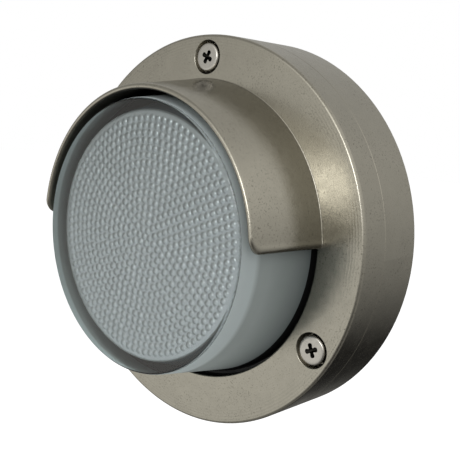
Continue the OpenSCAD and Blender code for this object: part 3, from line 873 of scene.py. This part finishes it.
MATERIALS = {
    "satin_nickel": satin_nickel(),
    "bright_screw": metal("bright_screw", (0.5, 0.485, 0.455), (0.42, 0.405, 0.38), (0.2, 0.3)),
    "black_rubber": moulded("black_rubber", (0.03, 0.03, 0.03), (0.02, 0.02, 0.02), (0.6, 0.8)),
    "pressed_steel": metal("pressed_steel", (0.66, 0.66, 0.66), (0.55, 0.55, 0.54)),
    "white_plastic": moulded("white_plastic", (0.86, 0.86, 0.84), (0.8, 0.8, 0.78)),
    "board_white": moulded("board_white", (0.9, 0.9, 0.88), (0.84, 0.84, 0.82), (0.3, 0.4)),
    "chip_yellow": moulded("chip_yellow", (0.86, 0.72, 0.22), (0.8, 0.64, 0.16), (0.15, 0.25)),
    "grey_silicone": moulded("grey_silicone", (0.48, 0.5, 0.52), (0.42, 0.44, 0.46), (0.6, 0.8)),
    "sheet_aluminium": metal("sheet_aluminium", (0.78, 0.78, 0.79), (0.68, 0.68, 0.69), (0.3, 0.42)),
    "ivory_plastic": moulded("ivory_plastic", (0.86, 0.82, 0.7), (0.8, 0.76, 0.63), (0.25, 0.35)),
    "brass_screw": metal("brass_screw", (0.78, 0.62, 0.3), (0.66, 0.5, 0.22)),
    "green_screw": metal("green_screw", (0.1, 0.4, 0.18), (0.07, 0.3, 0.13), (0.25, 0.35)),
    "tinned_copper": metal("tinned_copper", (0.74, 0.74, 0.72), (0.62, 0.62, 0.6), (0.25, 0.38)),
    "insulation_black": moulded("insulation_black", (0.03, 0.03, 0.03), (0.02, 0.02, 0.02)),
    "insulation_white": moulded("insulation_white", (0.85, 0.85, 0.83), (0.78, 0.78, 0.76)),
    "insulation_green": moulded("insulation_green", (0.05, 0.32, 0.12), (0.04, 0.26, 0.1)),
    "insulation_red": moulded("insulation_red", (0.6, 0.05, 0.04), (0.5, 0.04, 0.03)),
}


def wear(obj, slot, *materials):
    """Gives obj its materials, in the order of its faces' own numbers; without them, the one that
    the record's slot names.
    """
    numbers = [face.material_index for face in obj.data.polygons]
    obj.data.materials.clear()
    for material in materials or (MATERIALS[slot],):
        obj.data.materials.append(material)
    obj.data.polygons.foreach_set("material_index", numbers if materials else [0] * len(numbers))


def dress_frame():
    """Gives each node of the frame the finish that the record names for it, where that finish is
    among the materials.
    """
    finishes = {part["node"]: part["material_slot"] for part in frame["record"]["subparts"]}
    for name, obj in frame["nodes"].items():
        if finishes[name] in MATERIALS:
            wear(obj, finishes[name])


def add_pieces():
    """The finer faceplate, face screws and lens, each in place of its solid."""
    # The casting's and screws' second material: a painted shade
    painted_dark = painted_shade_casting()
    faceplate = build_faceplate()
    wear(faceplate, "satin_nickel", MATERIALS["satin_nickel"], painted_dark)
    screws = build_screws()
    wear(screws, "bright_screw", MATERIALS["bright_screw"], painted_dark)
    lens = build_lens()
    wear(
        lens,
        "clear_lens",
        clear_glass(),
        frosted_glass("lens_pebbles", (0.308, 0.31, 0.303), (0.26, 0.265, 0.26), 0.22, 0.15, 0.3),
        # The lens's inner wall in near black: a painted shade
        frosted_glass("lens_wall_painted_shade", (0.075, 0.095, 0.108), (0.06, 0.078, 0.09), 0.0, 0.35, 0.0),
        # The lens's side, with painted light near its front and painted shade towards its foot
        satin_glass((0.46, 0.51, 0.495), (0.41, 0.455, 0.44), (0.66, 0.735, 0.73), 0.6),
        # The lens's foot and flange in near black: a painted shade
        moulded("lens_foot_painted_shade", (0.012, 0.012, 0.012), (0.008, 0.008, 0.008), (0.6, 0.8), shine=0.1),
    )
    for piece, name in ((faceplate, "faceplate"), (screws, "face_screws"), (lens, "lens")):
        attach(piece, "root")
        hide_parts(name)


# Studio


def looked_at(tree):
    """1 for what the camera sees, directly, in a mirror or through glass; otherwise 0."""
    path = node(tree, "ShaderNodeLightPath").outputs
    seen = path["Is Camera Ray"]
    for other in ("Is Glossy Ray", "Is Transmission Ray"):
        both = {0: seen, 1: path[other]}
        seen = node(tree, "ShaderNodeMath", both, operation="MAXIMUM").outputs[0]
    return seen


def world():
    """Plain light all round; white where the camera, a mirror or a lens looks past the object."""
    made = bpy.data.worlds.new("studio")
    bpy.context.scene.world = made
    made.use_nodes = True
    tree = made.node_tree
    tree.nodes.clear()
    seen = looked_at(tree)
    plain = node(tree, "ShaderNodeBackground", {"Color": (0.38, 0.38, 0.38, 1)}).outputs[0]
    white = node(tree, "ShaderNodeBackground", {"Color": (1, 1, 1, 1)}).outputs[0]
    both = node(tree, "ShaderNodeMixShader", {0: seen, 1: plain, 2: white}).outputs[0]
    node(tree, "ShaderNodeOutputWorld", {"Surface": both})


def floor():
    """A pale floor below the light that keeps its soft shadow and fades to white for the camera."""
    made, tree = new_material("pale_floor")
    seen = looked_at(tree)
    matt = node(tree, "ShaderNodeBsdfDiffuse", {"Color": (0.8, 0.8, 0.8, 1)}).outputs[0]
    glow = node(tree, "ShaderNodeEmission", {"Color": (1, 1, 1, 1), "Strength": 0.75}).outputs[0]
    lit = node(tree, "ShaderNodeAddShader", {0: matt, 1: glow}).outputs[0]
    output(tree, node(tree, "ShaderNodeMixShader", {0: seen, 1: matt, 2: lit}).outputs[0])
    side, below = 4000, -230
    corners = [(x * side, below, z * side) for x, z in ((-1, -1), (1, -1), (1, 1), (-1, 1))]
    obj = mesh_object("floor", corners, [(0, 1, 2, 3)])
    obj.data.materials.append(made)
    obj.visible_glossy = False


def softbox(name, direction, distance, size, level, mirrored=True):
    """A square light that faces the object; level is how bright it looks, and white paper is 1."""
    data = bpy.data.lights.new(name, "AREA")
    data.shape, data.size, data.energy = "SQUARE", size, level * math.pi * size * size
    made = bpy.data.objects.new(name, data)
    bpy.context.scene.collection.objects.link(made)
    away = Vector(direction).normalized()
    made.location = away * distance
    made.rotation_mode = "QUATERNION"
    made.rotation_quaternion = away.to_track_quat("Z", "Y")
    made.visible_glossy = mirrored


def tent():
    """Grey surroundings that only mirrors and the lens see: an even tone and soft patches.

    Each patch has a direction, a sharpness and a strength. The even tone and the first eight
    patches came from a least-squares fit to how bright the photographed casting is in about
    thirty places; the last two were set one by one.
    """
    even, least = 0.45, 0.02
    patches = (
        ((0.0, -0.95, 0.32), 11.6, 1.58),
        ((-0.56, -0.79, -0.24), 16, 0.57),
        ((0.71, 0.37, 0.61), 7, 0.55),
        ((0.12, 0.73, -0.67), 3.9, -0.53),
        ((0.59, 0.79, -0.17), 3.8, 0.17),
        ((-0.26, 0.44, 0.86), 7, 0.19),
        ((0.67, -0.59, 0.45), 6.7, 0.7),
        ((-0.11, -0.59, 0.8), 6.4, -0.1),
        ((0.4, -0.7, -0.6), 4, -0.35),
        ((-0.72, -0.6, -0.35), 20, 0.2),
    )
    made, tree = new_material("tent")
    place = node(tree, "ShaderNodeTexCoord").outputs["Object"]
    outward = node(
        tree, "ShaderNodeVectorMath", {0: place}, operation="NORMALIZE"
    ).outputs["Vector"]
    total = even
    for direction, sharpness, strength in patches:
        middle = Vector(direction).normalized()
        dot = node(
            tree, "ShaderNodeVectorMath", {0: outward, 1: middle}, operation="DOT_PRODUCT"
        ).outputs["Value"]
        fall = node(
            tree, "ShaderNodeMath", {0: dot, 1: sharpness, 2: -sharpness}, operation="MULTIPLY_ADD"
        ).outputs[0]
        patch = node(tree, "ShaderNodeMath", {0: fall}, operation="EXPONENT").outputs[0]
        total = node(
            tree, "ShaderNodeMath", {0: patch, 1: strength, 2: total}, operation="MULTIPLY_ADD"
        ).outputs[0]
    level = node(tree, "ShaderNodeMath", {0: total, 1: least}, operation="MAXIMUM").outputs[0]
    color = (1, 0.985, 0.93, 1)
    output(tree, node(tree, "ShaderNodeEmission", {"Color": color, "Strength": level}).outputs[0])
    made.cycles.emission_sampling = "NONE"
    bpy.ops.mesh.primitive_ico_sphere_add(subdivisions=4, radius=2)
    obj = bpy.context.object
    obj.name = "tent"
    obj.data.materials.append(made)
    obj.visible_camera = obj.visible_diffuse = False
    obj.visible_shadow = False


def camera():
    """The photograph's viewpoint, as found by fitting the light's circles to it."""
    yaw, pitch, roll = -0.707071, -0.142167, 0.067985
    place, focal_mm, sensor_mm = (0.157898, -0.195977, 0.0342), 58.03, 36
    ahead = Vector(
        (math.sin(yaw) * math.cos(pitch), math.cos(yaw) * math.cos(pitch), math.sin(pitch))
    )
    level = Vector((math.cos(yaw), -math.sin(yaw), 0))
    up = level.cross(ahead)
    right = math.cos(roll) * level + math.sin(roll) * up
    up = -math.sin(roll) * level + math.cos(roll) * up
    data = bpy.data.cameras.new("camera")
    data.lens, data.sensor_width = focal_mm, sensor_mm
    made = bpy.data.objects.new("camera", data)
    bpy.context.scene.collection.objects.link(made)
    axes = Matrix((right, up, -ahead)).transposed()
    made.matrix_world = Matrix.Translation(place) @ axes.to_4x4()
    bpy.context.scene.camera = made


def studio():
    """Soft studio light at a plain level."""
    world()
    floor()
    softbox("softbox_front", (0.2, -0.94, 0.26), 1.0, 0.28, 6)
    softbox("softbox_top", (-0.25, -0.38, 0.89), 1.2, 0.6, 3.2, mirrored=False)
    tent()
    bpy.context.scene.view_settings.view_transform = "Standard"


dress_frame()
add_pieces()
studio()
camera()
